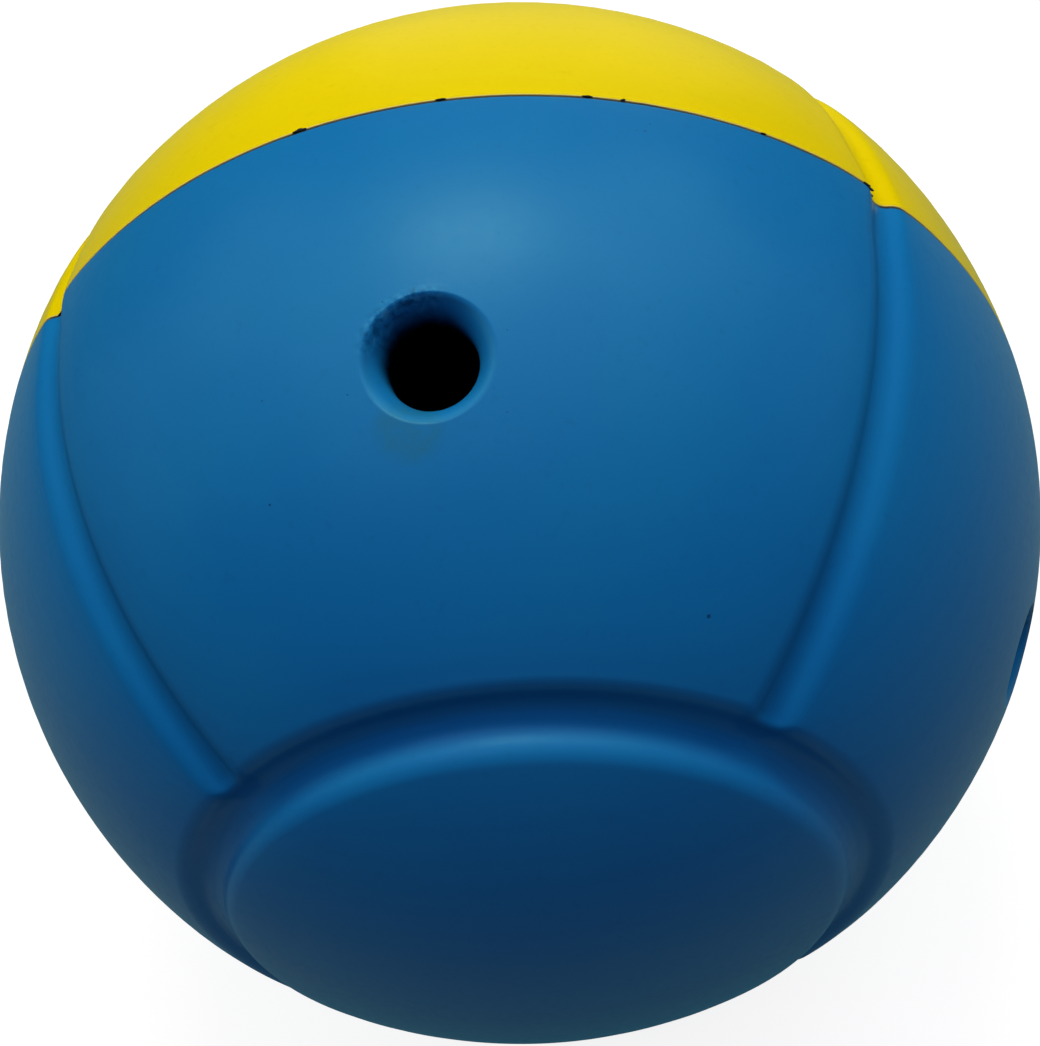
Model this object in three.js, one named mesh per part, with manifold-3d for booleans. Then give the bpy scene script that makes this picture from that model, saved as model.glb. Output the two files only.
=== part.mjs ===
import * as THREE from 'three';
import { mergeVertices } from 'three/addons/utils/BufferGeometryUtils.js';
import Module from 'manifold-3d';

// A hollow foam ball made of two moulded half shells that are cemented together round the equator.
// Lengths are in millimetres and angles in degrees, with +Z up.
// The poles lie on the Y axis: the pierced half faces -Y and the plain half +Y.

// The ball
const ballDiameter = 150;
const wallThickness = 8;

// The cemented seam
const cementThickness = 0.4;
const cementSetback = 0.6;
const rimRounding = 0.5;

// The ring groove round each polar cap
const ringLatitude = 57.1;
const ringWidth = 9;
const ringDepth = 2.7;
const ringShoulderRadius = 1;

// The straight grooves that run from one ring groove across the seam to the other.
// They lie in pairs on great circles through the poles and part each half into panels.
const greatCircles = 2;
const grooveWidth = 6.8;
const grooveDepth = 1.5;
const grooveShoulderRadius = 1.6;

// The holes of the pierced half, one in the middle of each panel
const holeLatitude = 26.9;
const holeDiameter = 11;
const holeLipRadius = 1.8;

// How far a cutting tool reaches past the skin that it opens
const cutterReach = 3;

// Facets
const turnSteps = 64;
const hollowSteps = 32;
const holeSteps = 24;
const roundingSteps = 3;
const lipSteps = 4;

// Colours and surface
const piercedColor = 0x1b67a3;
const plainColor = 0xe5cc14;
const cementColor = 0x23282b;
const foamRoughness = 0.6;
const cementRoughness = 0.85;

const ballRadius = ballDiameter / 2;
const hollowRadius = ballRadius - wallThickness;
const cementRadius = ballRadius - cementSetback;
const rimHeight = cementThickness / 2;
const cutterRadius = ballRadius + cutterReach;
const panels = 2 * greatCircles;
const panelAngle = 2 * Math.PI / panels;
const rowAngle = 2 * Math.PI / turnSteps;
const ringAngle = THREE.MathUtils.degToRad(ringLatitude);
const holeAngle = THREE.MathUtils.degToRad(holeLatitude);

const kernel = await Module();
kernel.setup();

// A closed geometry as a body that can be cut. Faces that shrink to a line on the axis are dropped.
function bodyOf(geometry) {
  geometry.deleteAttribute('normal');
  geometry.deleteAttribute('uv');
  const welded = mergeVertices(geometry);
  const corners = welded.index.array;
  const faces = [];
  for (let i = 0; i < corners.length; i += 3) {
    const [a, b, c] = corners.subarray(i, i + 3);
    if (a !== b && b !== c && c !== a) faces.push(a, b, c);
  }
  return new kernel.Manifold(new kernel.Mesh({
    numProp: 3,
    vertProperties: new Float32Array(welded.attributes.position.array),
    triVerts: new Uint32Array(faces),
  }));
}

// A named piece of the ball with a material of its own
function piece(name, body, color, roughness) {
  const { vertProperties, triVerts } = body.getMesh();
  const geometry = new THREE.BufferGeometry();
  geometry.setAttribute('position', new THREE.BufferAttribute(vertProperties, 3));
  geometry.setIndex(new THREE.BufferAttribute(triVerts, 1));
  geometry.computeVertexNormals();
  const material = new THREE.MeshStandardMaterial({ color, roughness, metalness: 0 });
  const mesh = new THREE.Mesh(geometry, material);
  mesh.name = name;
  return mesh;
}

// The point of a section through the ball's centre at an angle and a distance from that centre
function polar(angle, radius) {
  return new THREE.Vector2(radius * Math.cos(angle), radius * Math.sin(angle));
}

// Points round an arc, with both of its ends
function arc(centre, radius, from, to, steps) {
  const points = [];
  for (let i = 0; i <= steps; i += 1) {
    points.push(polar(THREE.MathUtils.lerp(from, to, i / steps), radius).add(centre));
  }
  return points;
}

// Points of the skin on the common rows that lie between two angles, clear of both ends
function skin(from, to) {
  const clear = rowAngle / 5;
  const points = [];
  for (let angle = 0; angle < to - clear; angle += rowAngle) {
    if (angle > from + clear) points.push(polar(angle, ballRadius));
  }
  return points;
}

// The section of a groove that lies across the skin at an angle. Its floor is a hollow arc, which
// runs at each side smoothly into a rounded shoulder, and the shoulders end level with the skin.
function trough(angle, width, depth, shoulderRadius) {
  const half = width / 2;
  const slope = 2 * Math.atan(depth / half);
  const floorRadius = half / Math.sin(slope) - shoulderRadius;
  const floorCentre = new THREE.Vector2(0, floorRadius - depth);
  const shoulderCentre = new THREE.Vector2(half, -shoulderRadius);
  const down = -Math.PI / 2;
  const up = Math.PI / 2;
  const floor = arc(floorCentre, floorRadius, down, down + slope, roundingSteps);
  const shoulder = arc(shoulderCentre, shoulderRadius, up + slope, up, roundingSteps);
  const side = [...floor, ...shoulder.slice(1)];
  const otherSide = side.slice(1).reverse().map(({ x, y }) => new THREE.Vector2(-x, y));
  return [...otherSide, ...side].map(({ x, y }) => polar(angle + x / ballRadius, ballRadius + y));
}

// A half ball on the +Y side, with its ring groove and rounded rim, before it is hollowed
function halfBall() {
  const edgeHeight = rimHeight + rimRounding;
  const edgeCentre = new THREE.Vector2(Math.sqrt((ballRadius - rimRounding) ** 2 - edgeHeight ** 2), edgeHeight);
  const ringReach = ringWidth / 2 / ballRadius;
  const profile = [
    new THREE.Vector2(0, rimHeight),
    ...arc(edgeCentre, rimRounding, -Math.PI / 2, edgeCentre.angle(), roundingSteps),
    ...skin(edgeCentre.angle(), ringAngle - ringReach),
    ...trough(ringAngle, ringWidth, ringDepth, ringShoulderRadius),
    ...skin(ringAngle + ringReach, Math.PI / 2),
    new THREE.Vector2(0, ballRadius),
  ];
  return new THREE.LatheGeometry(profile, turnSteps);
}

// The straight grooves: rings round the ball, kept only between the middles of the ring grooves
function grooveCutter() {
  const reach = grooveWidth / 2 / ballRadius;
  const profile = [
    polar(-reach, cutterRadius),
    polar(reach, cutterRadius),
    ...trough(0, grooveWidth, grooveDepth, grooveShoulderRadius).reverse(),
    polar(-reach, cutterRadius),
  ];
  const beltWidth = 2 * (cutterRadius + cutterReach);
  const beltHeight = 2 * ballRadius * Math.sin(ringAngle);
  const belt = bodyOf(new THREE.BoxGeometry(beltWidth, beltHeight, beltWidth));
  const rings = [];
  for (let i = 0; i < greatCircles; i += 1) {
    const ring = new THREE.LatheGeometry(profile, turnSteps);
    ring.rotateZ(Math.PI / 2);
    ring.rotateY((i + 0.5) * panelAngle);
    rings.push(bodyOf(ring));
  }
  return kernel.Manifold.union(rings).intersect(belt);
}

// The holes: each points straight out of the ball and opens in a rounded lip, level with the skin
function holeCutter() {
  const holeRadius = holeDiameter / 2;
  const lipRadius = holeRadius + holeLipRadius;
  const lipCentre = new THREE.Vector2(lipRadius, Math.sqrt((ballRadius - holeLipRadius) ** 2 - lipRadius ** 2));
  const lip = arc(lipCentre, holeLipRadius, Math.PI, lipCentre.angle(), lipSteps);
  const profile = [
    new THREE.Vector2(0, hollowRadius - cutterReach),
    new THREE.Vector2(holeRadius, hollowRadius - cutterReach),
    ...lip,
    new THREE.Vector2(lip[lipSteps].x, cutterRadius),
    new THREE.Vector2(0, cutterRadius),
  ];
  const holes = [];
  for (let i = 0; i < panels; i += 1) {
    const hole = new THREE.LatheGeometry(profile, holeSteps);
    hole.rotateX(Math.PI / 2 + holeAngle);
    hole.rotateY(i * panelAngle);
    holes.push(bodyOf(hole));
  }
  return kernel.Manifold.union(holes);
}

const hollow = bodyOf(new THREE.SphereGeometry(hollowRadius, hollowSteps, hollowSteps / 2));
const hollowAndGrooves = hollow.add(grooveCutter());

const plainHalf = bodyOf(halfBall()).subtract(hollowAndGrooves);
const closedHalf = bodyOf(halfBall().rotateX(Math.PI)).subtract(hollowAndGrooves);
const piercedHalf = closedHalf.subtract(holeCutter());
const cementDisc = new THREE.CylinderGeometry(cementRadius, cementRadius, cementThickness, turnSteps);
const cementRing = bodyOf(cementDisc).subtract(hollowAndGrooves);

const ball = new THREE.Group();
ball.name = 'foam_ball';
ball.add(piece('pierced_half_shell', piercedHalf, piercedColor, foamRoughness));
ball.add(piece('plain_half_shell', plainHalf, plainColor, foamRoughness));
ball.add(piece('seam_cement', cementRing, cementColor, cementRoughness));

export default ball;
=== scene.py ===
import math

import bpy
import numpy as np
from mathutils import Matrix, Vector


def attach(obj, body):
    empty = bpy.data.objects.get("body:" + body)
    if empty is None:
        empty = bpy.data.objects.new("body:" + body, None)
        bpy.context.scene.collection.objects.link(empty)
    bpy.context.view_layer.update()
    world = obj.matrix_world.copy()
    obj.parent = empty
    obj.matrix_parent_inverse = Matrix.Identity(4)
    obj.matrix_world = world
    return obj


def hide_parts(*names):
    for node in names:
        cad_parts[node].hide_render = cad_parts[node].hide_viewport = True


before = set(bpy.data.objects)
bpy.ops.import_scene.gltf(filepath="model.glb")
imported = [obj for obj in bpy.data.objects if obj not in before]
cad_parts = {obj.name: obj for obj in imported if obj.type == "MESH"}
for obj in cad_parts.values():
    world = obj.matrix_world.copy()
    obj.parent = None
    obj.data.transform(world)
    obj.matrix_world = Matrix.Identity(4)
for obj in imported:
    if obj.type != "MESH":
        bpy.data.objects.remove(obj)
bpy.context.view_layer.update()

# A hollow foam ball of two moulded half shells, cemented together round the seam.
# Lengths are in metres and angles in radians, unless a comment says something else. The poles lie on
# the Y axis, with the pierced half towards -Y and the plain half towards +Y, and the seam stands in
# the XZ plane. Longitude runs from +Z towards +X, and latitude from the seam towards +Y.

# The ball
BALL_RADIUS = 0.075
WALL = 0.008
PANELS = 4
PANEL_ANGLE = 2 * math.pi / PANELS
PIERCED_SIDE = -1.0
PLAIN_SIDE = 1.0

# The seam
SEAM_GAP = 0.0004
SEAM_WOBBLE = 0.0002
RIM_ROUNDING = 0.00014

# The cement in the seam, where its fill is a share of the gap to each side and its depth of the wall
CEMENT_SETBACK = 0.00012
CEMENT_FILL = 0.48
CEMENT_DEPTH = 0.98

# The section of the cement: how far out each corner lies, as a share of the depth, and to which side
CEMENT_SECTION = ((0.0, 1.0), (0.0, -1.0), (0.98, -1.0), (1.0, 0.0), (0.98, 1.0))

# Flecks of cement that stand out of the seam: angle in degrees, length, height and lift
SEAM_FLECKS = (
    (-12.0, 0.0008, 0.0003, 0.00018),
    (-11.6, 0.0006, 0.0006, 0.00032),
    (-11.2, 0.0008, 0.0003, 0.00018),
    (1.5, 0.0014, 0.0002, 0.00014),
    (14.4, 0.0014, 0.0002, 0.00014),
    (17.6, 0.0007, 0.0002, 0.00012),
    (42.9, 0.0012, 0.0004, 0.00020),
    (43.5, 0.0014, 0.0006, 0.00030),
    (44.1, 0.0010, 0.0005, 0.00030),
    (-46.0, 0.0016, 0.0004, 0.00020),
    (31.0, 0.0008, 0.00015, 0.0001),
)
FLECK_STAND = 0.0003
FLECK_JAG = 0.00025

# Flecks on the underside, which are scattered between two angles in degrees
SCATTERED_FLECKS = 22
SCATTER_SEED = 20
SCATTER_ANGLES = (95.0, 265.0)
SCATTER_LENGTHS = (0.0004, 0.0014)
SCATTER_HEIGHTS = (0.0002, 0.0004)
SCATTER_LIFTS = (0.0, 0.0002)

# The ring groove round each polar cap
RING_LATITUDE = math.radians(57.1)
RING_WIDTH = 0.0102
RING_DEPTH = 0.0026
RING_STEEPNESS = math.radians(54)
RING_OUTER_SHOULDER = 0.0029
RING_INNER_SHOULDER = 0.0032
RING_LEAN = 0.0125

# The lower stretch of the ring groove, which is slack: shallower, and softer on the cap's side.
# It slackens between two heights, which are shares of the ring's radius.
RING_SLACK_DEPTH = 0.0016
RING_SLACK_STEEPNESS = math.radians(35)
RING_SLACK_SHOULDER = 0.0055
RING_SLACKENS = (0.6, 0.0)

# The straight grooves between the panels, which run out over a share of the ring groove's width
GROOVE_WIDTH = 0.0082
GROOVE_WIDTH_AT_SEAM = 0.0070
GROOVE_DEPTH = 0.0012
GROOVE_DEPTH_AT_SEAM = 0.0014
GROOVE_SHOULDER = 0.0042
GROOVE_SHOULDER_AT_SEAM = 0.0026
GROOVE_STEEPNESS = math.radians(33)
GROOVE_STEEPNESS_AT_SEAM = math.radians(44)
GROOVE_ANGLE = math.radians(44.4)
GROOVE_ANGLE_AT_SEAM = math.radians(45.2)
GROOVE_FLARE = math.radians(7)
GROOVE_RUN_OUT = 0.45
GROOVE_BLEND = 3.0

# The skin rolls off beside a groove, from a full width of it away to this share of the width
ROLL_OFF = 0.00014
ROLL_OFF_FULL = 0.3

# The holes of the pierced half
HOLE_LATITUDE = math.radians(26.9)
HOLE_TURN = math.radians(-0.48)
HOLE_RADIUS = 0.0050
HOLE_LIP = 0.0023
LIP_CREASE = math.radians(27)
STEEP_LIP_CREASE = math.radians(56)

# The torn side of a hole: the way to it, and where its steep lip, tears and flash begin and are full
# as a spoke of the hole turns that way
TORN_ASIDE = 0.45
TORN_SEAMWARD = 0.89
LIP_STEEPENS = (-0.3, 0.95)
TEARS_GROW = (0.45, 0.85)
FLASH_GROWS = (0.5, 0.85)

# How far the flash reaches past the mouth, from none to full, how far the tears stand out and at which
# level of their noise the wall stays as it is
FLASH_ON_SKIN = (0.0012, 0.0001)
RAGGED_LIP = 0.0007
SHRED_LEVEL = 0.35

# Marks down a hole, from 0 at its mouth to 1 at its throat and 2 at its foot: where the tears begin and
# end, and where the painted shade of the rim, the flash and the wear end. Each pair runs from none to
# full.
TEARS_BEGIN = (0.1, 0.7)
TEARS_END = (1.9, 1.2)
RIM_PAINTED_SHADE_ENDS = (0.25, 0.1)
FLASH_ENDS = (0.5, 0.1)
WEAR_ENDS = (0.35, 0.0)

# The painted shade in a hole: its colour darkens by depth as a share of the wall, starting higher up on
# the steep side, with a little painted shade on the steep side of the rim too
PAINTED_SHADE_START = 0.3
STEEP_PAINTED_SHADE_RISE = 0.2
PAINTED_SHADE_LENGTH = 0.42
RIM_PAINTED_SHADE = 0.1

# How evenly the halves came out of the mould
UNEVENNESS = 0.00012

# How fine the unevenness is, in waves to the ball's radius
SWELL_WAVES = 2.2
SEAM_WAVES = 34.0
CEMENT_WAVES = 60.0

# How fine the patterns are, in waves or cells to the metre
CLOUD_WAVES = 38.0
PEEL_WAVES = 320.0
FLECK_WAVES = 900.0
SHRED_WAVES = 900.0
FLASH_WAVES = 1100.0
LUMP_WAVES = 1500.0
JAG_WAVES = 1900.0
GRAIN_WAVES = 2600.0
PIT_CELLS = 210.0

# Where each pattern of the skin begins and is full
CLOUDS_SHOW = (0.35, 0.75)
FLECKS_SHOW = (0.55, 0.8)
STAINS_SHOW = (0.5, 1.0)
PEEL_SHOWS = (0.4, 0.7)
DARK_FLASH_SHOWS = (0.5, 0.62)
PALE_FLASH_SHOWS = (0.48, 0.38)
PITS_ARE_RARE = (0.95, 0.99)
PIT_EDGE = (0.04, 0.02)
SHOULDER_BEGINS = (0.0, 0.08)
SHOULDER_ENDS = (0.4, 0.15)
GROOVE_DULLS = (0.0, 0.2)

# How strongly each pattern colours the skin
FLECK_STRENGTH = 0.1
STAIN_STRENGTH = 0.55
STAIN_FLECKS = 0.6
PIT_STRENGTH = 0.65
SHOULDER_STRENGTH = 0.15
WEAR_STRENGTH = 0.35
WEAR_FLECKS = 0.5
DARK_FLASH_STRENGTH = 0.5
PALE_FLASH_STRENGTH = 0.8
GROOVE_DULLING = 0.85

# How rough and how bumpy the finishes are
SKIN_ROUGHNESS = 0.36
CLOUD_ROUGHNESS = 0.1
FLECK_ROUGHNESS = 0.12
SHOULDER_ROUGHNESS = 0.05
CEMENT_ROUGHNESS = 0.75
LUMP_ROUGHNESS = 0.2
GRAIN_HEIGHT = 0.25
PEEL_HEIGHT = 0.6
PIT_HEIGHT = 4.0
FLASH_HEIGHT = 6.0
BUMP_HEIGHT = 0.0001
SKIN_BUMP = 0.25
CEMENT_BUMP = 0.6

# Pits and a damp stain in the skin of the pierced half: longitude and latitude in degrees, and radius.
# A spot is full within a share of its radius.
SKIN_PITS = (
    (19.85, -2.89, 0.00016),
    (19.33, -3.97, 0.00022),
    (18.61, -4.00, 0.00014),
    (6.77, -25.29, 0.00012),
    (6.52, -32.09, 0.00012),
    (-8.27, -28.95, 0.00014),
    (-4.12, -21.62, 0.00014),
    (29.83, -46.93, 0.00032),
)
DAMP_STAINS = ((-2.79, -32.62, 0.0047),)
SPOT_CORE = 0.5

# What the trees lay on each point of a half shell for its finish to read; one of them is painted shade,
# which darkens the holes and the lining
SKIN_MARKS = ("hollow", "groove", "painted_shade", "worn", "flash")

# How many points the blanks have along each stretch
GROOVE_COLUMNS = 16
PANEL_COLUMNS = 54
PANEL_ROWS = 36
RING_ROWS = 20
RING_EDGE_ROWS = 10
CAP_ROWS = 12
CEMENT_COLUMNS = 960

# Where the stretches of a blank end: the columns beside a straight groove as a share of its width, the
# rows by the ring groove's edge, the last row of the cap and the rings round a panel's middle as
# shares of the way to its edge
GROOVE_COLUMNS_REACH = 0.66
RING_EDGE_REACH = 0.0028
RING_EDGE_OVERLAP = 0.1
CAP_TOP = math.radians(88)
PANEL_RINGS = (0.0, 0.006, 0.05, 0.9, 1.0)
PANEL_RING_COUNTS = (1, 3, 12, 12)

# Marks of the rows down a hole, from its foot to its mouth, and round the rim, from the hollow out
HOLE_MARKS = (*np.linspace(2.0, 1.0, 4), *np.linspace(0.9, 0.1, 9))
RIM_MARKS = (2.0, 1.0, 0.75, 0.5, 0.25)

# What the points of the skin carry at a hole and at the rim, where the lining meets the outside
HOLE_EDGE = 1.0
RIM_EDGE = 2.0
EDGE_TOLERANCE = 0.1

# The mark that the rim is worn to, and the distance within which points become one
RIM_WORN_TO = 1.1
MERGE_DISTANCE = 2e-6

# The floor, whose glow is dimmed near the ball into a painted contact shadow and rises far away from it,
# and which glows teal only in the ball's reflections as a painted reflection; and the sky
FLOOR_SIZE = 8.0
FLOOR_GREY = 0.24
# The floor's teal glow, seen only in the ball's gloss, is a painted reflection
FLOOR_PAINTED_REFLECTION = 0.14
FLOOR_PAINTED_REFLECTION_COLOUR = (0.1, 1.0, 1.0, 1.0)
# Near the ball the floor's glow is dimmed into a painted contact shadow
NEAR_FLOOR_PAINTED_SHADOW = (0.01, 0.055)
NEAR_FLOOR_PAINTED_SHADOW_GLOW = (0.45, 0.88)
FAR_FLOOR = (0.25, 1.5)
FAR_FLOOR_GLOW = (0.0, 0.12)
SKY_LIGHT = 0.02
WHITE = (1.0, 1.0, 1.0, 1.0)

# The soft lamps: heading from the ball, width, height, power and colour
LAMP_DISTANCE = 0.9
SOFTBOXES = {
    "key_softbox": ((0.0, 0.27, 0.95), 0.34, 0.22, 3.0, (1.0, 1.0, 0.76)),
    "top_softbox": ((0.02, -0.08, 1.0), 1.2, 0.72, 4.65, (0.88, 0.66, 0.96)),
    "right_softbox": ((0.49, 0.33, 0.81), 0.5, 0.5, 1.75, (0.68, 1.0, 0.7)),
    "left_softbox": ((-0.54, 0.3, 0.79), 0.5, 0.5, 1.15, (0.62, 1.0, 0.68)),
    "low_left_softbox": ((-0.85, 0.1, 0.5), 0.6, 0.6, 0.6, (0.6, 1.0, 0.95)),
    "low_right_softbox": ((0.85, 0.1, 0.5), 0.6, 0.6, 0.8, (0.55, 0.72, 1.0)),
    "front_softbox": ((0.0, -1.0, 0.05), 0.6, 0.6, 0.4, (0.6, 0.55, 1.0)),
    "back_softbox": ((0.1, 1.0, 0.2), 0.6, 0.6, 0.8, (1.0, 1.0, 0.8)),
}

# Where the camera stood
CAMERA_DISTANCE = 3.066 * BALL_RADIUS
CAMERA_RIGHT = (0.9888, -0.0215, -0.1477)
CAMERA_UP = (0.1128, 0.7556, 0.6452)
CAMERA_BACK = (0.0977, -0.6547, 0.7496)
CAMERA_LENS = 51.99
CAMERA_SENSOR = 36.0

# The sizes of the straight grooves, which the halves and the cement share
GROOVE_SIZES = {
    "Groove Width": GROOVE_WIDTH,
    "Groove Width At Seam": GROOVE_WIDTH_AT_SEAM,
    "Groove Depth": GROOVE_DEPTH,
    "Groove Depth At Seam": GROOVE_DEPTH_AT_SEAM,
    "Groove Shoulder": GROOVE_SHOULDER,
    "Groove Shoulder At Seam": GROOVE_SHOULDER_AT_SEAM,
    "Groove Steepness": GROOVE_STEEPNESS,
    "Groove Steepness At Seam": GROOVE_STEEPNESS_AT_SEAM,
    "Groove Angle": GROOVE_ANGLE,
    "Groove Angle At Seam": GROOVE_ANGLE_AT_SEAM,
    "Groove Flare": GROOVE_FLARE,
    "Roll Off": ROLL_OFF,
}

# The sizes that the tree of a half shell takes
SHELL_SIZES = {
    "Ball Radius": BALL_RADIUS,
    "Wall": WALL,
    "Seam Gap": SEAM_GAP,
    "Seam Wobble": SEAM_WOBBLE,
    "Rim Rounding": RIM_ROUNDING,
    "Ring Latitude": RING_LATITUDE,
    "Ring Width": RING_WIDTH,
    "Ring Depth": RING_DEPTH,
    "Ring Steepness": RING_STEEPNESS,
    "Ring Outer Shoulder": RING_OUTER_SHOULDER,
    "Ring Inner Shoulder": RING_INNER_SHOULDER,
    "Ring Lean": RING_LEAN,
    "Ring Slack Depth": RING_SLACK_DEPTH,
    "Ring Slack Steepness": RING_SLACK_STEEPNESS,
    "Ring Slack Shoulder": RING_SLACK_SHOULDER,
    **GROOVE_SIZES,
    "Hole Latitude": HOLE_LATITUDE,
    "Hole Turn": HOLE_TURN,
    "Hole Radius": HOLE_RADIUS,
    "Hole Lip": HOLE_LIP,
    "Lip Crease": LIP_CREASE,
    "Steep Lip Crease": STEEP_LIP_CREASE,
    "Unevenness": UNEVENNESS,
    "Ragged Lip": RAGGED_LIP,
    "Pierced": 1.0,
    "Seed": 3.0,
    "Side": PIERCED_SIDE,
}

# The sizes that the tree of the cement takes
CEMENT_SIZES = {
    "Ball Radius": BALL_RADIUS,
    "Wall": WALL,
    "Seam Gap": SEAM_GAP,
    "Seam Wobble": SEAM_WOBBLE,
    "Setback": CEMENT_SETBACK,
    "Fleck Stand": FLECK_STAND,
    "Fleck Jag": FLECK_JAG,
    **GROOVE_SIZES,
    "Seed": 11.0,
}


# Node trees

class Reading:
    """A value that flows through a node tree. Arithmetic on it lays the nodes that do the sum."""

    def __init__(self, socket):
        self.socket = socket

    def __add__(self, other):
        return calc("ADD", self, other)

    def __radd__(self, other):
        return calc("ADD", other, self)

    def __sub__(self, other):
        return calc("SUBTRACT", self, other)

    def __rsub__(self, other):
        return calc("SUBTRACT", other, self)

    def __mul__(self, other):
        return calc("MULTIPLY", self, other)

    def __rmul__(self, other):
        return calc("MULTIPLY", other, self)

    def __truediv__(self, other):
        return calc("DIVIDE", self, other)

    def __rtruediv__(self, other):
        return calc("DIVIDE", other, self)

    def __pow__(self, other):
        return calc("POWER", self, other)

    def __neg__(self):
        return calc("MULTIPLY", self, -1.0)

    def __abs__(self):
        return calc("ABSOLUTE", self)


def feed(socket, term):
    """Puts a reading or a plain value on an input of a node."""
    if isinstance(term, Reading):
        socket.id_data.links.new(term.socket, socket)
    else:
        socket.default_value = term


def tree_of(terms):
    """The node tree that some terms flow through."""
    return next(term for term in terms if isinstance(term, Reading)).socket.id_data


def lay(tree, kind, inputs=(), **settings):
    """Lays a node in a tree, with its settings and with a term on each input that is named."""
    node = tree.nodes.new(kind)
    for name, value in settings.items():
        setattr(node, name, value)
    for name, term in dict(inputs).items():
        feed(node.inputs[name], term)
    return node


def calc(operation, *terms):
    """One sum of numbers."""
    node = lay(tree_of(terms), "ShaderNodeMath", operation=operation)
    for socket, term in zip(node.inputs, terms):
        feed(socket, term)
    return Reading(node.outputs["Value"])


def vector(operation, *terms):
    """One sum of vectors."""
    node = lay(tree_of(terms), "ShaderNodeVectorMath", operation=operation)
    sockets = [node.inputs[0], node.inputs[1]]
    if operation == "SCALE":
        sockets = [node.inputs[0], node.inputs["Scale"]]
    for socket, term in zip(sockets, terms):
        feed(socket, term)
    single = operation in ("DOT_PRODUCT", "LENGTH", "DISTANCE")
    return Reading(node.outputs["Value" if single else "Vector"])


def parts(heading):
    """The three parts of a vector."""
    node = lay(tree_of([heading]), "ShaderNodeSeparateXYZ", {"Vector": heading})
    return [Reading(node.outputs[name]) for name in "XYZ"]


def join(x, y, z):
    """A vector of three parts."""
    node = lay(tree_of([x, y, z]), "ShaderNodeCombineXYZ", {"X": x, "Y": y, "Z": z})
    return Reading(node.outputs["Vector"])


def ramp(value, low, high, bottom=0.0, top=1.0):
    """A smooth step of a value from low to high."""
    node = lay(
        tree_of([value]),
        "ShaderNodeMapRange",
        {"Value": value, "From Min": low, "From Max": high, "To Min": bottom, "To Max": top},
        interpolation_type="SMOOTHSTEP",
    )
    return Reading(node.outputs["Result"])


def noise(place, scale, detail=2.0, seed=0.0):
    """Soft noise between 0 and 1 at a place, different for each seed."""
    node = lay(
        tree_of([place]),
        "ShaderNodeTexNoise",
        {"Vector": place, "W": seed, "Scale": scale, "Detail": detail},
        noise_dimensions="4D",
    )
    return Reading(node.outputs[0])


def new_tree(name, sizes):
    """A geometry tree with a named input for each size, its incoming geometry and its sizes."""
    tree = bpy.data.node_groups.new(name, "GeometryNodeTree")
    tree.interface.new_socket("Geometry", in_out="INPUT", socket_type="NodeSocketGeometry")
    tree.interface.new_socket("Geometry", in_out="OUTPUT", socket_type="NodeSocketGeometry")
    for size, value in sizes.items():
        socket = tree.interface.new_socket(size, in_out="INPUT", socket_type="NodeSocketFloat")
        socket.default_value = value
    inlet = tree.nodes.new("NodeGroupInput")
    geometry = Reading(inlet.outputs["Geometry"])
    return tree, geometry, {size: Reading(inlet.outputs[size]) for size in sizes}


def close_tree(tree, geometry, material):
    """Ends a tree in real, smooth geometry with its material on."""
    smooth = lay(tree, "GeometryNodeSetShadeSmooth", {"Geometry": geometry})
    real = lay(tree, "GeometryNodeRealizeInstances", {"Geometry": Reading(smooth.outputs[0])})
    finish = lay(tree, "GeometryNodeSetMaterial", {"Geometry": Reading(real.outputs[0])})
    finish.inputs["Material"].default_value = material
    outlet = tree.nodes.new("NodeGroupOutput")
    tree.links.new(finish.outputs[0], outlet.inputs["Geometry"])


def position(tree):
    """Where each point is."""
    return Reading(tree.nodes.new("GeometryNodeInputPosition").outputs["Position"])


def mark(tree, name):
    """A number that each point of the blank carries."""
    node = lay(tree, "GeometryNodeInputNamedAttribute", {"Name": name}, data_type="FLOAT")
    return Reading(node.outputs["Attribute"])


def keep(tree, geometry, name, value):
    """Lays a number on each point of a geometry for the finish to read."""
    inputs = {"Geometry": geometry, "Name": name, "Value": value}
    node = lay(tree, "GeometryNodeStoreNamedAttribute", inputs, data_type="FLOAT", domain="POINT")
    return Reading(node.outputs["Geometry"])


def moved(tree, geometry, **where):
    """A geometry with its points set at a position or moved by an offset."""
    inputs = {"Geometry": geometry, **{title.title(): term for title, term in where.items()}}
    return Reading(lay(tree, "GeometryNodeSetPosition", inputs).outputs["Geometry"])


def joined(tree, *geometries):
    """Some geometries as one."""
    node = tree.nodes.new("GeometryNodeJoinGeometry")
    for geometry in geometries:
        tree.links.new(geometry.socket, node.inputs["Geometry"])
    return Reading(node.outputs["Geometry"])


def over(value, level):
    """Whether a value is above a level."""
    inputs = {"A": value, "B": level}
    node = lay(tree_of([value]), "FunctionNodeCompare", inputs, operation="GREATER_THAN")
    return Reading(node.outputs["Result"])


def choose(test, otherwise, chosen):
    """One of two places, by a test that is above a half or not."""
    inputs = {"Switch": over(test, 0.5), "False": otherwise, "True": chosen}
    node = lay(tree_of([test]), "GeometryNodeSwitch", inputs, input_type="VECTOR")
    return Reading(node.outputs["Output"])


def formed(name, blank, tree, sizes):
    """The plain mesh that a tree makes of a blank, as a new object in the scene."""
    base = bpy.data.objects.new(name + "_blank", blank)
    bpy.context.scene.collection.objects.link(base)
    modifier = base.modifiers.new("form", "NODES")
    modifier.node_group = tree
    for item in tree.interface.items_tree:
        if item.item_type == "SOCKET" and item.in_out == "INPUT" and item.name in sizes:
            modifier[item.identifier] = sizes[item.name]
    depsgraph = bpy.context.evaluated_depsgraph_get()
    mesh = bpy.data.meshes.new_from_object(base.evaluated_get(depsgraph), depsgraph=depsgraph)
    bpy.data.objects.remove(base)
    mesh.name = name
    piece = bpy.data.objects.new(name, mesh)
    bpy.context.scene.collection.objects.link(piece)
    return piece


# The rules of the mould

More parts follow.
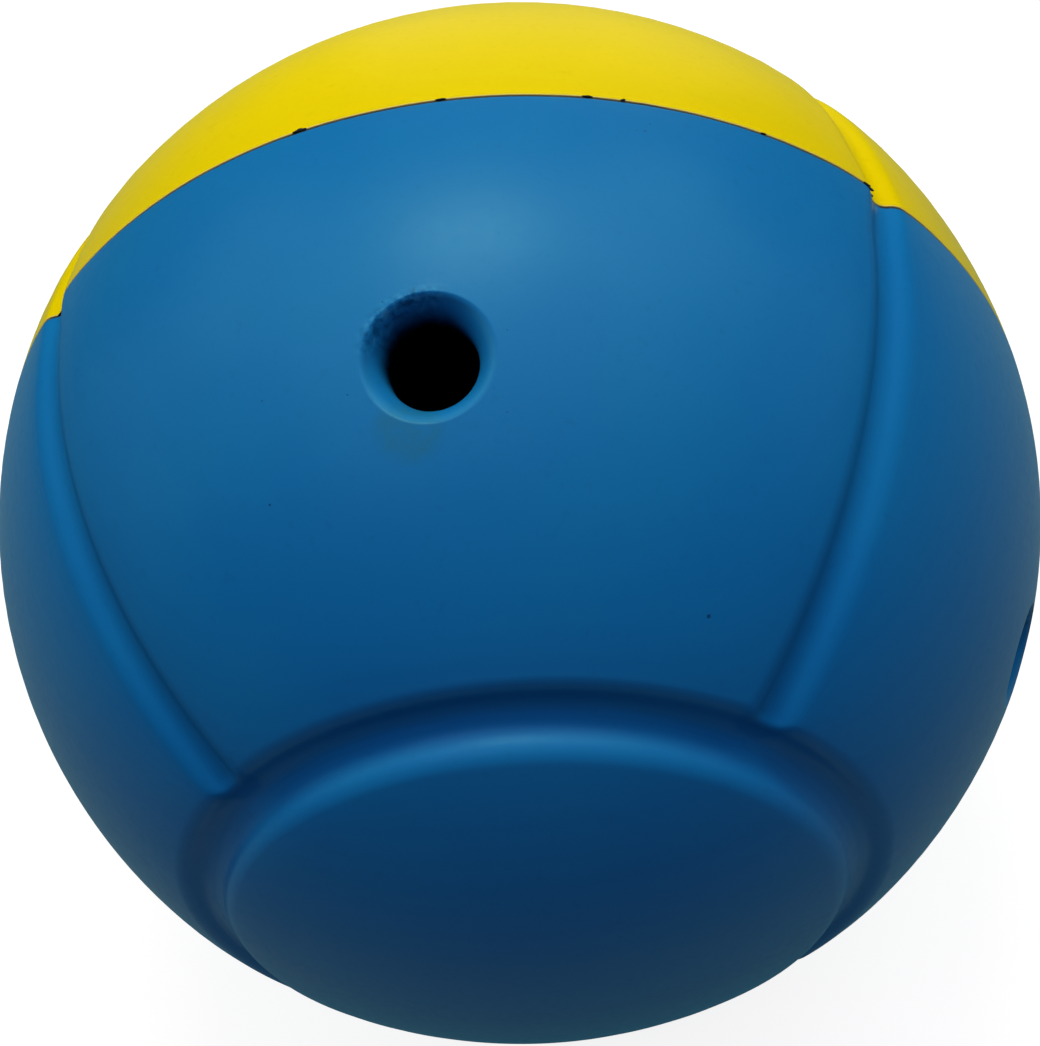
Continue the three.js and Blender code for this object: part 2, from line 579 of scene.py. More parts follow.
def trough(across, width, depth, shoulder, steepness):
    """Depth of a groove at a distance from its middle: a hollow floor and rounded shoulders."""
    half = width / 2.0
    rise = calc("SINE", steepness)
    drop = 1.0 - calc("COSINE", steepness)
    floor = depth / drop - shoulder
    flat = half - (floor + shoulder) * rise
    on_floor = calc("MINIMUM", calc("MAXIMUM", across - flat, 0.0), floor * rise)
    floor_drop = depth - floor + calc("SQRT", floor * floor - on_floor * on_floor)
    on_shoulder = calc("MINIMUM", calc("MAXIMUM", half - across, 0.0), shoulder * rise)
    shoulder_drop = shoulder - calc("SQRT", shoulder * shoulder - on_shoulder * on_shoulder)
    return floor_drop + shoulder_drop - shoulder * drop


def straight_groove(heading, size):
    """Depth of the straight grooves, which run from pole to pole and are narrower at the seam."""
    x, y, z = parts(heading)
    away = ramp(calc("ARCSINE", abs(y)), 0.0, size["Groove Flare"])

    def flared(title):
        at_seam = size[title + " At Seam"]
        return at_seam + (size[title] - at_seam) * away

    angle = flared("Groove Angle")
    width = flared("Groove Width")
    aside = abs(x) * calc("COSINE", angle) - abs(z) * calc("SINE", angle)
    across = calc("ARCSINE", abs(aside)) * size["Ball Radius"]
    groove = trough(
        across, width, flared("Groove Depth"), flared("Groove Shoulder"), flared("Groove Steepness")
    )
    return groove + ramp(across, width, width * ROLL_OFF_FULL) * size["Roll Off"]


def skin_depth(heading, size):
    """How far the skin lies inside the round of the ball, and the straight grooves' own depth there."""
    x, y, z = parts(heading)
    latitude = calc("ARCSINE", y * size["Side"] + x * size["Ring Lean"])
    across_ring = (latitude - size["Ring Latitude"]) * size["Ball Radius"]
    on_cap = calc("GREATER_THAN", across_ring, 0.0)
    slack = ramp(z / calc("SQRT", x * x + z * z), *RING_SLACKENS)

    def slackened(title, slack_title):
        return size[title] + (size[slack_title] - size[title]) * slack

    def sided(outer, inner):
        return outer + on_cap * (inner - outer)

    width = size["Ring Width"]
    depth = slackened("Ring Depth", "Ring Slack Depth")
    soft_shoulder = slackened("Ring Inner Shoulder", "Ring Slack Shoulder")
    soft_steepness = slackened("Ring Steepness", "Ring Slack Steepness")
    shoulder = sided(size["Ring Outer Shoulder"], soft_shoulder)
    steepness = sided(size["Ring Steepness"], soft_steepness)
    roll_off = ramp(-across_ring, width, width * ROLL_OFF_FULL) * (1.0 - on_cap) * size["Roll Off"]
    ring = trough(abs(across_ring), width, depth, shoulder, steepness) + roll_off
    groove = straight_groove(heading, size) * ramp(across_ring, 0.0, width * -GROOVE_RUN_OUT)
    return (ring ** GROOVE_BLEND + groove ** GROOVE_BLEND) ** (1.0 / GROOVE_BLEND), groove


def seam_line(level, size):
    """How far the seam strays from its plane at a heading in that plane."""
    return (noise(level, SEAM_WAVES, 2.0, 5.0) - 0.5) * size["Seam Wobble"]


def leg(long_side, short_side):
    """The third side of a triangle with a right angle, from its longest side and another one."""
    return calc("SQRT", long_side * long_side - short_side * short_side)


def rim_places(heading, rim, skin_radius, size):
    """Places round the rim, from the skin to the flat face that is cemented, and at its inner edge."""
    x, y, z = parts(heading)
    side = size["Side"]
    turn = calc("MINIMUM", rim, 1.0) * (math.pi / 2)
    inward = calc("MAXIMUM", rim - 1.0, 0.0)
    flat = calc("SQRT", x * x + z * z)
    stray = seam_line(join(x / flat, 0.0, z / flat), size)
    half_gap = size["Seam Gap"] / 2.0
    out = skin_radius * flat - size["Rim Rounding"] * (1.0 - calc("COSINE", turn))
    lift = half_gap + (skin_radius * y * side - half_gap) * (1.0 - calc("SINE", turn))
    inner = leg(size["Ball Radius"] - size["Wall"], half_gap)
    reach = (out + (inner - out) * inward) / flat
    inner_reach = inner / flat
    place = join(x * reach, lift * side + stray, z * reach)
    inner_edge = join(x * inner_reach, half_gap * side + stray, z * inner_reach)
    return place, inner_edge


def hole_round(heading, size):
    """The axis of the nearest hole, the spoke from it to a heading, and how far that is the torn way."""
    x, _, z = parts(heading)
    side = size["Side"]
    panel = calc("ROUND", calc("ARCTAN2", x, z) / PANEL_ANGLE)
    quarter = panel * PANEL_ANGLE + size["Hole Turn"]
    sine, cosine = calc("SINE", quarter), calc("COSINE", quarter)
    level = calc("COSINE", size["Hole Latitude"])
    axis = join(level * sine, calc("SINE", size["Hole Latitude"]) * side, level * cosine)
    along = vector("DOT_PRODUCT", heading, axis)
    spoke = vector("NORMALIZE", vector("SUBTRACT", heading, vector("SCALE", axis, along)))
    torn_way = join(-TORN_ASIDE * cosine, -TORN_SEAMWARD * side, TORN_ASIDE * sine)
    return axis, spoke, vector("DOT_PRODUCT", spoke, torn_way)


def hole_places(axis, spoke, torn, bore, size):
    """Places down the lip and wall of a hole and at its foot, and how deep in the wall the first lie."""
    throat = size["Hole Radius"]
    crease_gain = size["Steep Lip Crease"] - size["Lip Crease"]
    crease = size["Lip Crease"] + crease_gain * ramp(torn, *LIP_STEEPENS)
    bend = crease + (math.pi / 2 - crease) * calc("MINIMUM", bore, 1.0)
    arc = size["Hole Lip"] / (1.0 - calc("SINE", crease))
    mouth_height = leg(size["Ball Radius"], throat + size["Hole Lip"])
    foot_height = leg(size["Ball Radius"] - size["Wall"], throat)
    lip_height = mouth_height - arc * (calc("COSINE", crease) - calc("COSINE", bend))
    height = lip_height + (foot_height - lip_height) * calc("MAXIMUM", bore - 1.0, 0.0)
    reach = throat + arc * (1.0 - calc("SINE", bend))

    def at(height, reach):
        return vector("ADD", vector("SCALE", axis, height), vector("SCALE", spoke, reach))

    tears = ramp(torn, *TEARS_GROW) * ramp(bore, *TEARS_BEGIN) * ramp(bore, *TEARS_END)
    shred = noise(at(height, reach), SHRED_WAVES, 3.0, size["Seed"]) - SHRED_LEVEL
    torn_reach = reach - tears * shred * size["Ragged Lip"] * 2.0
    return at(height, torn_reach), at(foot_height, throat), (mouth_height - height) / size["Wall"]


def hole_finish(heading, axis, torn, bore, sunk, size):
    """How much painted shade darkens, how worn and how covered with flash each point in or by a hole is.
    """
    steep = ramp(torn, *LIP_STEEPENS)
    in_hole = calc("GREATER_THAN", bore, 0.0)
    start = PAINTED_SHADE_START - steep * STEEP_PAINTED_SHADE_RISE
    rim_painted_shade = steep * ramp(bore, *RIM_PAINTED_SHADE_ENDS) * RIM_PAINTED_SHADE
    # Painted shade: the colour darkens with depth down the hole, and a little on the steep side of the
    # rim
    painted_shade = in_hole * calc("MAXIMUM", ramp(sunk, start, start + PAINTED_SHADE_LENGTH), rim_painted_shade)
    worn = in_hole * ramp(bore, *WEAR_ENDS) * (1.0 - steep)
    apart = calc("ARCSINE", vector("LENGTH", vector("CROSS_PRODUCT", heading, axis)))
    past_mouth = size["Ball Radius"] * apart - (size["Hole Radius"] + size["Hole Lip"])
    on_skin = ramp(past_mouth, *FLASH_ON_SKIN) * (1.0 - in_hole)
    by_hole = calc("MAXIMUM", in_hole * ramp(bore, *FLASH_ENDS), on_skin)
    flash = size["Pierced"] * ramp(torn, *FLASH_GROWS) * by_hole
    return painted_shade, worn, flash


def shell_tree(name, material):
    """The tree that forms a half shell from its blank, inside and out."""
    tree, blank, size = new_tree(name, SHELL_SIZES)
    heading = position(tree)
    bore = mark(tree, "bore")
    rim = mark(tree, "rim")
    edge = mark(tree, "edge")

    # The places outside: on the skin, round the rim and down the holes
    depth, groove = skin_depth(heading, size)
    swell = (noise(heading, SWELL_WAVES, 1.0, size["Seed"]) - 0.5) * size["Unevenness"] * 2.0
    skin_radius = size["Ball Radius"] - depth - abs(swell)
    rim_place, inner_edge = rim_places(heading, rim, skin_radius, size)
    axis, spoke, torn = hole_round(heading, size)
    hole_place, foot, sunk = hole_places(axis, spoke, torn, bore, size)
    on_rim = calc("GREATER_THAN", rim, 0.0)
    outside = choose(on_rim, vector("SCALE", heading, skin_radius), rim_place)
    outside = choose(calc("GREATER_THAN", bore, 0.0), outside, hole_place)

    # The marks for the finish, among them the painted shade of the holes, laid while the points of the
    # blank are still headings
    painted_shade, worn_lip, flash = hole_finish(heading, axis, torn, bore, sunk, size)
    worn_rim = on_rim * calc("LESS_THAN", rim, RIM_WORN_TO)
    worn = calc("MAXIMUM", worn_rim, worn_lip)
    readings = (depth / size["Ring Depth"], groove / size["Groove Depth"], painted_shade, worn, flash)
    marked = blank
    for title, reading in zip(SKIN_MARKS, readings):
        marked = keep(tree, marked, title, reading)
    outer = moved(tree, marked, position=outside)

    # The lining of the hollow, which meets the outside at the rim and at the foot of each hole
    hollow = vector("SCALE", heading, size["Ball Radius"] - size["Wall"])
    inside = choose(calc("COMPARE", edge, HOLE_EDGE, EDGE_TOLERANCE), hollow, foot)
    inside = choose(calc("COMPARE", edge, RIM_EDGE, EDGE_TOLERANCE), inside, inner_edge)
    off_skin = over(calc("MAXIMUM", bore, rim), 0.0)
    inputs = {"Geometry": blank, "Selection": off_skin}
    skin_only = lay(tree, "GeometryNodeDeleteGeometry", inputs, domain="POINT")
    lining = moved(tree, Reading(skin_only.outputs["Geometry"]), position=inside)
    # The lining is painted in full shade, with the dark shade colour all over
    lining = keep(tree, lining, "painted_shade", 1.0)
    flipped = lay(tree, "GeometryNodeFlipFaces", {"Mesh": lining})

    both = joined(tree, outer, Reading(flipped.outputs["Mesh"]))
    inputs = {"Geometry": both, "Distance": MERGE_DISTANCE}
    merged = lay(tree, "GeometryNodeMergeByDistance", inputs)
    close_tree(tree, Reading(merged.outputs["Geometry"]), material)
    return tree


# The blanks, which say where the points lie before a tree forms them

def marks(stops, counts):
    """Marks from the first stop to the last, evenly spaced between each two stops."""
    spans = [np.linspace(a, b, n, endpoint=False) for a, b, n in zip(stops, stops[1:], counts)]
    return np.concatenate(spans + [stops[-1:]])


def headings(longitude, latitude):
    """Unit headings from the centre, with the pole at +Y and longitude from +Z towards +X."""
    longitude, latitude = np.broadcast_arrays(longitude, latitude)
    level = np.cos(latitude)
    return np.stack([level * np.sin(longitude), np.sin(latitude), level * np.cos(longitude)], axis=-1)


def strips(first, rows, columns):
    """Faces of a patch of rows of points, where the last column of a row joins its first."""
    row, column = np.meshgrid(np.arange(rows - 1), np.arange(columns), indexing="ij")
    right = (column + 1) % columns
    low, high = first + row * columns, first + (row + 1) * columns
    return np.stack([low + column, low + right, high + right, high + column], axis=-1).reshape(-1, 4)


def give(mesh, title, values):
    """Lays a number on each point of a blank for its tree to read."""
    attribute = mesh.attributes.new(title, "FLOAT", "POINT")
    attribute.data.foreach_set("value", np.asarray(values).astype(np.float32))


class Blank:
    """The rows of headings that a half shell is formed from, with the marks that its tree reads."""

    def __init__(self):
        self.rows = []
        self.marks = {"bore": [], "rim": [], "edge": []}
        self.faces = []
        self.total = 0

    def add(self, row, bore=0.0, rim=0.0, edge=0.0):
        """Adds a row with its marks."""
        self.rows.append(row)
        for title, value in (("bore", bore), ("rim", rim), ("edge", edge)):
            self.marks[title].append(np.broadcast_to(value, len(row)))
        self.total += len(row)

    def mesh(self, name, side):
        """The blank as a mesh, with its pole at +Y or -Y."""
        points = np.concatenate(self.rows) * (1.0, side, 1.0)
        polygons = [polygon for patch in self.faces for polygon in patch.tolist()]
        if side < 0:
            polygons = [polygon[::-1] for polygon in polygons]
        mesh = bpy.data.meshes.new(name + "_blank")
        mesh.from_pydata(points.tolist(), [], polygons)
        for title, values in self.marks.items():
            give(mesh, title, np.concatenate(values))
        return mesh


def panel_outline(columns, low, high):
    """Headings round a panel: along the seam, up a groove, back along the ring groove and down."""
    rows = marks([low, high], [PANEL_ROWS])
    return np.concatenate([
        headings(columns[:-1], low),
        headings(columns[-1], rows[:-1]),
        headings(columns[:0:-1], high),
        headings(columns[0], rows[:0:-1]),
    ])


def add_panel(blank, outline, points_at_seam, turn, pierced):
    """Adds a panel in rings, from its middle to its outline, and the rows of its hole if it has one."""
    middle = headings(HOLE_TURN if pierced else 0.0, HOLE_LATITUDE)
    mouth = math.asin((HOLE_RADIUS + HOLE_LIP) / BALL_RADIUS) if pierced else 0.0
    hole_marks = HOLE_MARKS if pierced else ()
    rings = marks(PANEL_RINGS, PANEL_RING_COUNTS)
    apart = np.arccos(outline @ middle)
    spoke = outline - np.outer(outline @ middle, middle)
    spoke /= np.linalg.norm(spoke, axis=1)[:, None]
    first = blank.total
    lip = np.cos(mouth) * middle + np.sin(mouth) * spoke
    for bore in hole_marks:
        blank.add(lip @ turn.T, bore=bore)
    for ring in rings:
        away = (mouth + (apart - mouth) * ring)[:, None]
        row = np.cos(away) * middle + np.sin(away) * spoke
        edge = np.zeros(len(outline))
        if ring == 0.0 and pierced:
            edge[:] = HOLE_EDGE
        if ring == 1.0:
            row = outline
            edge[:points_at_seam] = RIM_EDGE
        blank.add(row @ turn.T, edge=edge)
    blank.faces.append(strips(first, len(hole_marks) + len(rings), len(outline))[:, ::-1])


def add_cap(blank, round_ball, ring_foot, ring_top):
    """Adds the ring groove and the cap, and gives the fan of faces that closes it at the pole."""
    edge_reach = RING_EDGE_REACH / BALL_RADIUS
    latitudes = marks(
        [ring_foot, ring_top - edge_reach, ring_top + RING_EDGE_OVERLAP * edge_reach, CAP_TOP],
        [RING_ROWS, RING_EDGE_ROWS, CAP_ROWS],
    )
    around = len(round_ball)
    first = blank.total
    for latitude in latitudes:
        blank.add(headings(round_ball, latitude))
    blank.faces.append(strips(first, len(latitudes), around))
    last_row = blank.total - around + np.arange(around)
    blank.add(np.array([[0.0, 1.0, 0.0]]))
    return np.stack([last_row, np.roll(last_row, -1), np.full(around, blank.total - 1)], axis=-1)


def add_rim(blank, round_ball, edge_latitude):
    """Adds the rows round the rim, from the hollow to the edge of the skin."""
    row = headings(round_ball, edge_latitude)
    first = blank.total
    for rim in RIM_MARKS:
        blank.add(row, rim=rim)
    blank.add(row, edge=RIM_EDGE)
    blank.faces.append(strips(first, len(RIM_MARKS) + 1, len(round_ball)))


def half_blank(name, side, pierced):
    """The blank of a half shell: its panels with their holes, its cap and its rim."""
    edge_latitude = math.asin((SEAM_GAP / 2 + RIM_ROUNDING) / BALL_RADIUS)
    ring_reach = RING_WIDTH / 2 / BALL_RADIUS
    ring_foot = RING_LATITUDE - ring_reach
    ring_top = RING_LATITUDE + ring_reach
    half_panel = PANEL_ANGLE / 2
    groove_reach = GROOVE_COLUMNS_REACH * GROOVE_WIDTH / BALL_RADIUS
    columns = marks(
        [-half_panel, groove_reach - half_panel, half_panel - groove_reach, half_panel],
        [GROOVE_COLUMNS, PANEL_COLUMNS, GROOVE_COLUMNS],
    )
    outline = panel_outline(columns, edge_latitude, ring_foot)
    round_ball = (np.arange(PANELS)[:, None] * PANEL_ANGLE + columns[None, :-1]).ravel()
    blank = Blank()
    for panel in range(PANELS):
        turn = np.array(Matrix.Rotation(panel * PANEL_ANGLE, 3, "Y"))
        add_panel(blank, outline, len(columns), turn, pierced)
    fan = add_cap(blank, round_ball, ring_foot, ring_top)
    add_rim(blank, round_ball, edge_latitude)
    blank.faces.append(fan)
    return blank.mesh(name, side)


def cement_blank(name):
    """The blank of the cement: a closed section that is carried round the seam, and its flecks."""
    level = headings(np.arange(CEMENT_COLUMNS) * (2 * math.pi / CEMENT_COLUMNS), 0.0)
    rng = np.random.default_rng(SCATTER_SEED)
    scattered = [
        (angle, rng.uniform(*SCATTER_LENGTHS), rng.uniform(*SCATTER_HEIGHTS), rng.uniform(*SCATTER_LIFTS))
        for angle in rng.uniform(*SCATTER_ANGLES, SCATTERED_FLECKS)
    ]
    flecks = np.array([*SEAM_FLECKS, *scattered])
    points = np.concatenate([level] * len(CEMENT_SECTION) + [headings(np.radians(flecks[:, 0]), 0.0)])
    ring = CEMENT_COLUMNS * len(CEMENT_SECTION)
    faces = strips(0, len(CEMENT_SECTION) + 1, CEMENT_COLUMNS) % ring
    outward, lift = np.repeat(CEMENT_SECTION, CEMENT_COLUMNS, axis=0).T
    mesh = bpy.data.meshes.new(name + "_blank")
    mesh.from_pydata(points.tolist(), [], faces.tolist())
    for title, on_ring, on_flecks in (
        ("outward", outward, np.zeros(len(flecks))),
        ("length", np.zeros(ring), flecks[:, 1]),
        ("height", np.zeros(ring), flecks[:, 2]),
        ("lift", lift, flecks[:, 3]),
    ):
        give(mesh, title, np.concatenate([on_ring, on_flecks]))
    return mesh


# The finishes

def paint(code):
    """A colour that is written as six hexadecimal figures, as the linear colour that shaders take."""
    channels = [int(code[i:i + 2], 16) / 255 for i in (0, 2, 4)]
    return (*[c / 12.92 if c <= 0.04045 else ((c + 0.055) / 1.055) ** 2.4 for c in channels], 1.0)


def tint(factor, colour, other):
    """A colour mixed with another by a factor."""
    node = lay(tree_of([factor]), "ShaderNodeMix", data_type="RGBA")
    for socket, term in zip((node.inputs[0], node.inputs[6], node.inputs[7]), (factor, colour, other)):
        feed(socket, term)
    return Reading(node.outputs[2])


def new_material(name):
    """A material with a plain shader, its tree, its shader and its object coordinates."""
    material = bpy.data.materials.new(name)
    material.use_nodes = True
    tree = material.node_tree
    shader = tree.nodes["Principled BSDF"]
    place = Reading(tree.nodes.new("ShaderNodeTexCoord").outputs["Object"])
    return material, tree, shader, place


def read(tree, title):
    """A number that each point of a piece carries."""
    node = lay(tree, "ShaderNodeAttribute", attribute_name=title)
    return Reading(node.outputs["Fac"])


def roughen(tree, shader, height, strength):
    """Lays a bump of some height on a finish."""
    inputs = {"Height": height, "Strength": strength, "Distance": BUMP_HEIGHT}
    bump = lay(tree, "ShaderNodeBump", inputs)
    feed(shader.inputs["Normal"], Reading(bump.outputs["Normal"]))


def spots(place, list_of_spots):
    """How far each point lies in one of some round spots: longitude, latitude in degrees and radius."""
    found = 0.0
    for longitude, latitude, radius in list_of_spots:
        spot = BALL_RADIUS * headings(math.radians(longitude), math.radians(latitude))
        away = vector("DISTANCE", place, spot.tolist())
        found = calc("MAXIMUM", ramp(away, radius, radius * SPOT_CORE), found)
    return found


def pinholes(tree, place):
    """Tiny pits in a few of the cells of the foam."""
    inputs = {"Vector": place, "Scale": PIT_CELLS, "Randomness": 1.0}
    cells = lay(tree, "ShaderNodeTexVoronoi", inputs)
    chance = lay(tree, "ShaderNodeSeparateColor", {"Color": Reading(cells.outputs["Color"])})
    rare = ramp(Reading(chance.outputs[0]), *PITS_ARE_RARE)
    return ramp(Reading(cells.outputs["Distance"]), *PIT_EDGE) * rare


def foam_skin(name, colour, deep, pale, painted_shade_colour, bare, sheen, sheen_colour, pits=(), stains=(), stain=None):
    """The satin skin of moulded foam: faint clouds, a fine grain, tiny pits, pale edges and painted shade
    down the holes and over the lining.
    """
    material, tree, shader, place = new_material(name)
    hollow, groove, painted_shade, worn, flash = (read(tree, title) for title in SKIN_MARKS)
    clouds = noise(place, CLOUD_WAVES, 3.0, 1.0)
    flecks = noise(place, FLECK_WAVES, 2.0, 2.0)
    grain = noise(place, GRAIN_WAVES, 2.0, 3.0)
    peel = noise(place, PEEL_WAVES, 2.0, 4.0)
    ragged = noise(place, FLASH_WAVES, 3.0, 6.0)
    shoulder = ramp(hollow, *SHOULDER_BEGINS) * ramp(hollow, *SHOULDER_ENDS)
    pit = pinholes(tree, place)
    if pits:
        pit = calc("MAXIMUM", pit, spots(place, pits))

    mixed = tint(ramp(clouds, *CLOUDS_SHOW), colour, pale)
    mixed = tint(ramp(flecks, *FLECKS_SHOW) * FLECK_STRENGTH, mixed, deep)
    if stains:
        damp = spots(place, stains) * ramp(clouds + flecks * STAIN_FLECKS, *STAINS_SHOW)
        mixed = tint(damp * STAIN_STRENGTH, mixed, stain)
    mixed = tint(pit * PIT_STRENGTH, mixed, deep)
    mixed = tint(shoulder * ramp(peel, *PEEL_SHOWS) * SHOULDER_STRENGTH, mixed, pale)
    mixed = tint(worn * (WEAR_STRENGTH + flecks * WEAR_FLECKS), mixed, bare)
    mixed = tint(flash * ramp(ragged, *DARK_FLASH_SHOWS) * DARK_FLASH_STRENGTH, mixed, deep)
    mixed = tint(flash * ramp(ragged, *PALE_FLASH_SHOWS) * PALE_FLASH_STRENGTH, mixed, bare)
    # Painted shade: the colour darkens to the shade colour down the holes and over the lining
    feed(shader.inputs["Base Color"], tint(painted_shade, mixed, painted_shade_colour))

    roughness = SKIN_ROUGHNESS + (clouds - 0.5) * CLOUD_ROUGHNESS + (flecks - 0.5) * FLECK_ROUGHNESS
    feed(shader.inputs["Roughness"], roughness + shoulder * SHOULDER_ROUGHNESS)
    dulled = ramp(groove, *GROOVE_DULLS) * GROOVE_DULLING
    feed(shader.inputs["Specular IOR Level"], sheen * (1.0 - dulled) * (1.0 - painted_shade))
    shader.inputs["Specular Tint"].default_value = sheen_colour
    height = grain * GRAIN_HEIGHT + peel * PEEL_HEIGHT - pit * PIT_HEIGHT + flash * ragged * FLASH_HEIGHT
    roughen(tree, shader, height, SKIN_BUMP)
    return material


def dull_cement(name, colour, pale):
    """Dark contact cement with a dull uneven face."""
    material, tree, shader, place = new_material(name)
    lumps = noise(place, LUMP_WAVES, 3.0, 5.0)
    feed(shader.inputs["Base Color"], tint(lumps, colour, pale))
    feed(shader.inputs["Roughness"], CEMENT_ROUGHNESS + lumps * LUMP_ROUGHNESS)
    roughen(tree, shader, lumps, CEMENT_BUMP)
    return material


blue_foam = foam_skin(
    "blue_foam_skin",
    colour=paint("116dab"),
    deep=paint("072f58"),
    pale=paint("1372ac"),
    # The colour of the painted shade down the holes and over the lining
    painted_shade_colour=paint("00040a"),
    bare=paint("2f86b8"),
    sheen=0.2,
    sheen_colour=(0.35, 1.0, 1.0, 1.0),
    pits=SKIN_PITS,
    stains=DAMP_STAINS,
    stain=paint("22687a"),
)
yellow_foam = foam_skin(
    "yellow_foam_skin",
    colour=paint("e2c802"),
    deep=paint("ac8c02"),
    pale=paint("e7cc03"),
    # The colour of the painted shade down the holes and over the lining
    painted_shade_colour=paint("2a2400"),
    bare=paint("dcd590"),
    sheen=0.03,
    sheen_colour=WHITE,
)
cement = dull_cement("contact_cement", paint("020405"), paint("0a1412"))


# The half shells

def half_shell(name, side, pierced, material, seed):
    """A half shell with its wall, rim, grooves and holes."""
    tree = shell_tree(name + "_mould", material)
    sizes = dict(SHELL_SIZES, Side=side, Seed=seed, Pierced=float(pierced))
    sizes["Ring Lean"] = RING_LEAN if pierced else 0.0
    return formed(name, half_blank(name, side, pierced), tree, sizes)


pierced_half = half_shell("blue_pierced_half", PIERCED_SIDE, True, blue_foam, seed=3.0)
plain_half = half_shell("yellow_plain_half", PLAIN_SIDE, False, yellow_foam, seed=8.0)


# The cement in the seam

def cement_tree(name, material):
    """The tree that lays the cement between the rims, and the flecks that stand out of the seam."""
    tree, blank, size = new_tree(name, CEMENT_SIZES)
    place = position(tree)
    x, _, z = parts(place)
    outward = mark(tree, "outward")
    lift = mark(tree, "lift")
    length = mark(tree, "length")
    level = join(x, 0.0, z)
    stray = seam_line(level, size)
    skin = size["Ball Radius"] - straight_groove(level, size)
    inputs = {"Geometry": blank, "Selection": over(length, 0.0)}
    sorted_points = lay(tree, "GeometryNodeSeparateGeometry", inputs, domain="POINT")

    # The line
    wobble = noise(level, CEMENT_WAVES, 2.0, size["Seed"]) - 0.5
    face = skin - size["Setback"] * (1.0 + wobble)
    back = size["Ball Radius"] - size["Wall"] * CEMENT_DEPTH
    reach = back + (face - back) * outward
    on_line = join(x * reach, lift * size["Seam Gap"] * CEMENT_FILL + stray, z * reach)
    line = moved(tree, Reading(sorted_points.outputs["Inverted"]), position=on_line)

    # The flecks
    on_skin = join(x * skin, lift + stray, z * skin)
    starts = moved(tree, Reading(sorted_points.outputs["Selection"]), position=on_skin)
    fleck = lay(tree, "GeometryNodeMeshIcoSphere", {"Radius": 0.5, "Subdivisions": 2})
    turned = lay(
        tree,
        "FunctionNodeAxesToRotation",
        {"Primary Axis": level, "Secondary Axis": join(z, 0.0, -x)},
        primary_axis="Z",
        secondary_axis="X",
    )
    inputs = {
        "Points": starts,
        "Instance": Reading(fleck.outputs["Mesh"]),
        "Rotation": Reading(turned.outputs["Rotation"]),
        "Scale": join(length, mark(tree, "height"), size["Fleck Stand"]),
    }
    placed = lay(tree, "GeometryNodeInstanceOnPoints", inputs)
    real = lay(tree, "GeometryNodeRealizeInstances", {"Geometry": Reading(placed.outputs["Instances"])})
    inputs = {"Vector": place, "W": size["Seed"], "Scale": JAG_WAVES, "Detail": 2.0}
    jagged = lay(tree, "ShaderNodeTexNoise", inputs, noise_dimensions="4D")
    jag = vector("SUBTRACT", Reading(jagged.outputs["Color"]), (0.5, 0.5, 0.5))
    jag = vector("SCALE", jag, size["Fleck Jag"])
    torn = moved(tree, Reading(real.outputs["Geometry"]), offset=jag)

    close_tree(tree, joined(tree, line, torn), material)
    return tree


cement_line = formed(
    "cement_line", cement_blank("cement_line"), cement_tree("cement_bed", cement), CEMENT_SIZES
)

for piece, node, finish in (
    (pierced_half, "pierced_half_shell", "blue_foam"),
    (plain_half, "plain_half_shell", "yellow_foam"),
    (cement_line, "seam_cement", "cement"),
):
    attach(piece, "root")
    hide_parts(node)


# Floor, light and camera

def floor_finish(name):
    """A white floor that shows the ball's shadow, darkened near the ball by a painted contact shadow in
    its glow, and fades into the white beyond; in the ball's gloss it glows teal, a painted reflection.
    """
    material, tree, shader, place = new_material(name)
    tree.nodes.remove(shader)
    x, y, _ = parts(place)
    away = calc("SQRT", x * x + y * y)
    path = tree.nodes.new("ShaderNodeLightPath")
    seen = Reading(path.outputs["Is Camera Ray"])
    mirrored = Reading(path.outputs["Is Glossy Ray"])
    # The glow is dimmed near the ball into a painted contact shadow and rises far from it
    glow_with_painted_shadow = ramp(away, *NEAR_FLOOR_PAINTED_SHADOW, *NEAR_FLOOR_PAINTED_SHADOW_GLOW) + ramp(away, *FAR_FLOOR, *FAR_FLOOR_GLOW)
    shade = lay(tree, "ShaderNodeBsdfDiffuse", {"Color": (FLOOR_GREY, FLOOR_GREY, FLOOR_GREY, 1.0)})
    inputs = {
        # The teal glow that only glossy rays see is a painted reflection on the ball
        "Color": tint(seen, FLOOR_PAINTED_REFLECTION_COLOUR, WHITE),
        "Strength": seen * glow_with_painted_shadow + mirrored * FLOOR_PAINTED_REFLECTION,
    }
    glow = lay(tree, "ShaderNodeEmission", inputs)
    both = lay(tree, "ShaderNodeAddShader")
    tree.links.new(shade.outputs["BSDF"], both.inputs[0])
    tree.links.new(glow.outputs["Emission"], both.inputs[1])
    tree.links.new(both.outputs["Shader"], tree.nodes["Material Output"].inputs["Surface"])
    return material


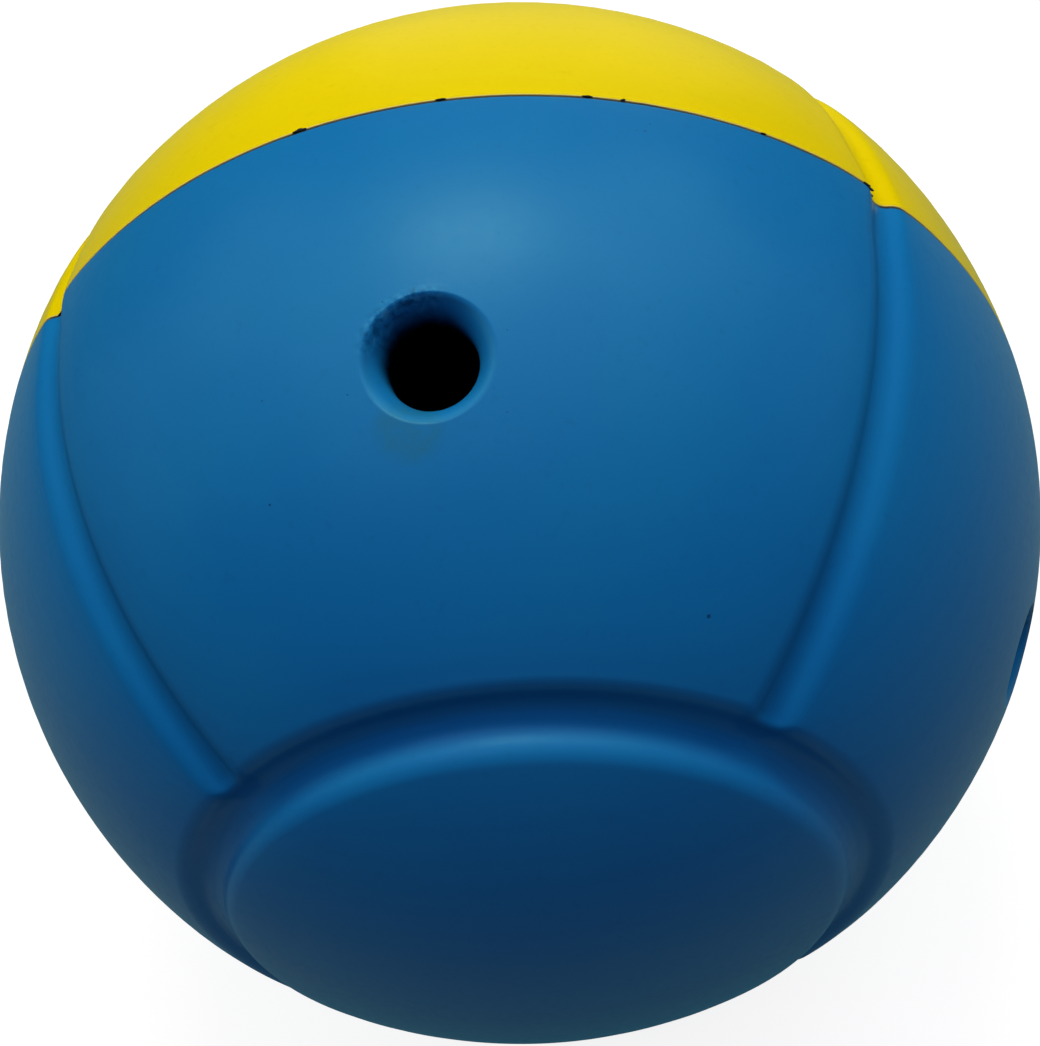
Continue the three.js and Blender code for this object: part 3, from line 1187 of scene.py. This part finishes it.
def pale_floor(name):
    """A square floor that the ball lies on."""
    corner = FLOOR_SIZE / 2
    corners = [(-corner, -corner), (corner, -corner), (corner, corner), (-corner, corner)]
    mesh = bpy.data.meshes.new(name)
    mesh.from_pydata([(x, y, -BALL_RADIUS) for x, y in corners], [], [(0, 1, 2, 3)])
    mesh.materials.append(floor_finish("pale_floor"))
    floor = bpy.data.objects.new(name, mesh)
    bpy.context.scene.collection.objects.link(floor)
    return floor


def softbox(name, heading, width, height, power, colour):
    """A soft rectangular lamp at a heading from the ball, which shines on it."""
    lamp = bpy.data.lights.new(name, "AREA")
    lamp.shape = "RECTANGLE"
    lamp.size = width
    lamp.size_y = height
    lamp.energy = power
    lamp.color = colour
    holder = bpy.data.objects.new(name, lamp)
    away = Vector(heading).normalized()
    holder.location = away * LAMP_DISTANCE
    holder.rotation_euler = away.to_track_quat("Z", "Y").to_euler()
    bpy.context.scene.collection.objects.link(holder)


def white_sky(name):
    """A sky that is white where the camera sees it and gives only a little light."""
    sky = bpy.data.worlds.new(name)
    sky.use_nodes = True
    background = sky.node_tree.nodes["Background"]
    path = sky.node_tree.nodes.new("ShaderNodeLightPath")
    seen = Reading(path.outputs["Is Camera Ray"])
    feed(background.inputs["Strength"], SKY_LIGHT + seen * (1.0 - SKY_LIGHT))
    background.inputs["Color"].default_value = WHITE
    return sky


def studio_camera(name):
    """The camera, where the photographer stood."""
    lens = bpy.data.cameras.new(name)
    lens.lens = CAMERA_LENS
    lens.sensor_width = CAMERA_SENSOR
    camera = bpy.data.objects.new(name, lens)
    turned = Matrix((CAMERA_RIGHT, CAMERA_UP, CAMERA_BACK)).transposed()
    camera.matrix_world = Matrix.Translation(Vector(CAMERA_BACK) * CAMERA_DISTANCE) @ turned.to_4x4()
    bpy.context.scene.collection.objects.link(camera)
    return camera


floor = pale_floor("floor")
for name, lamp in SOFTBOXES.items():
    softbox(name, *lamp)

scene = bpy.context.scene
scene.world = white_sky("studio")
scene.view_settings.view_transform = "Standard"
scene.camera = studio_camera("camera")
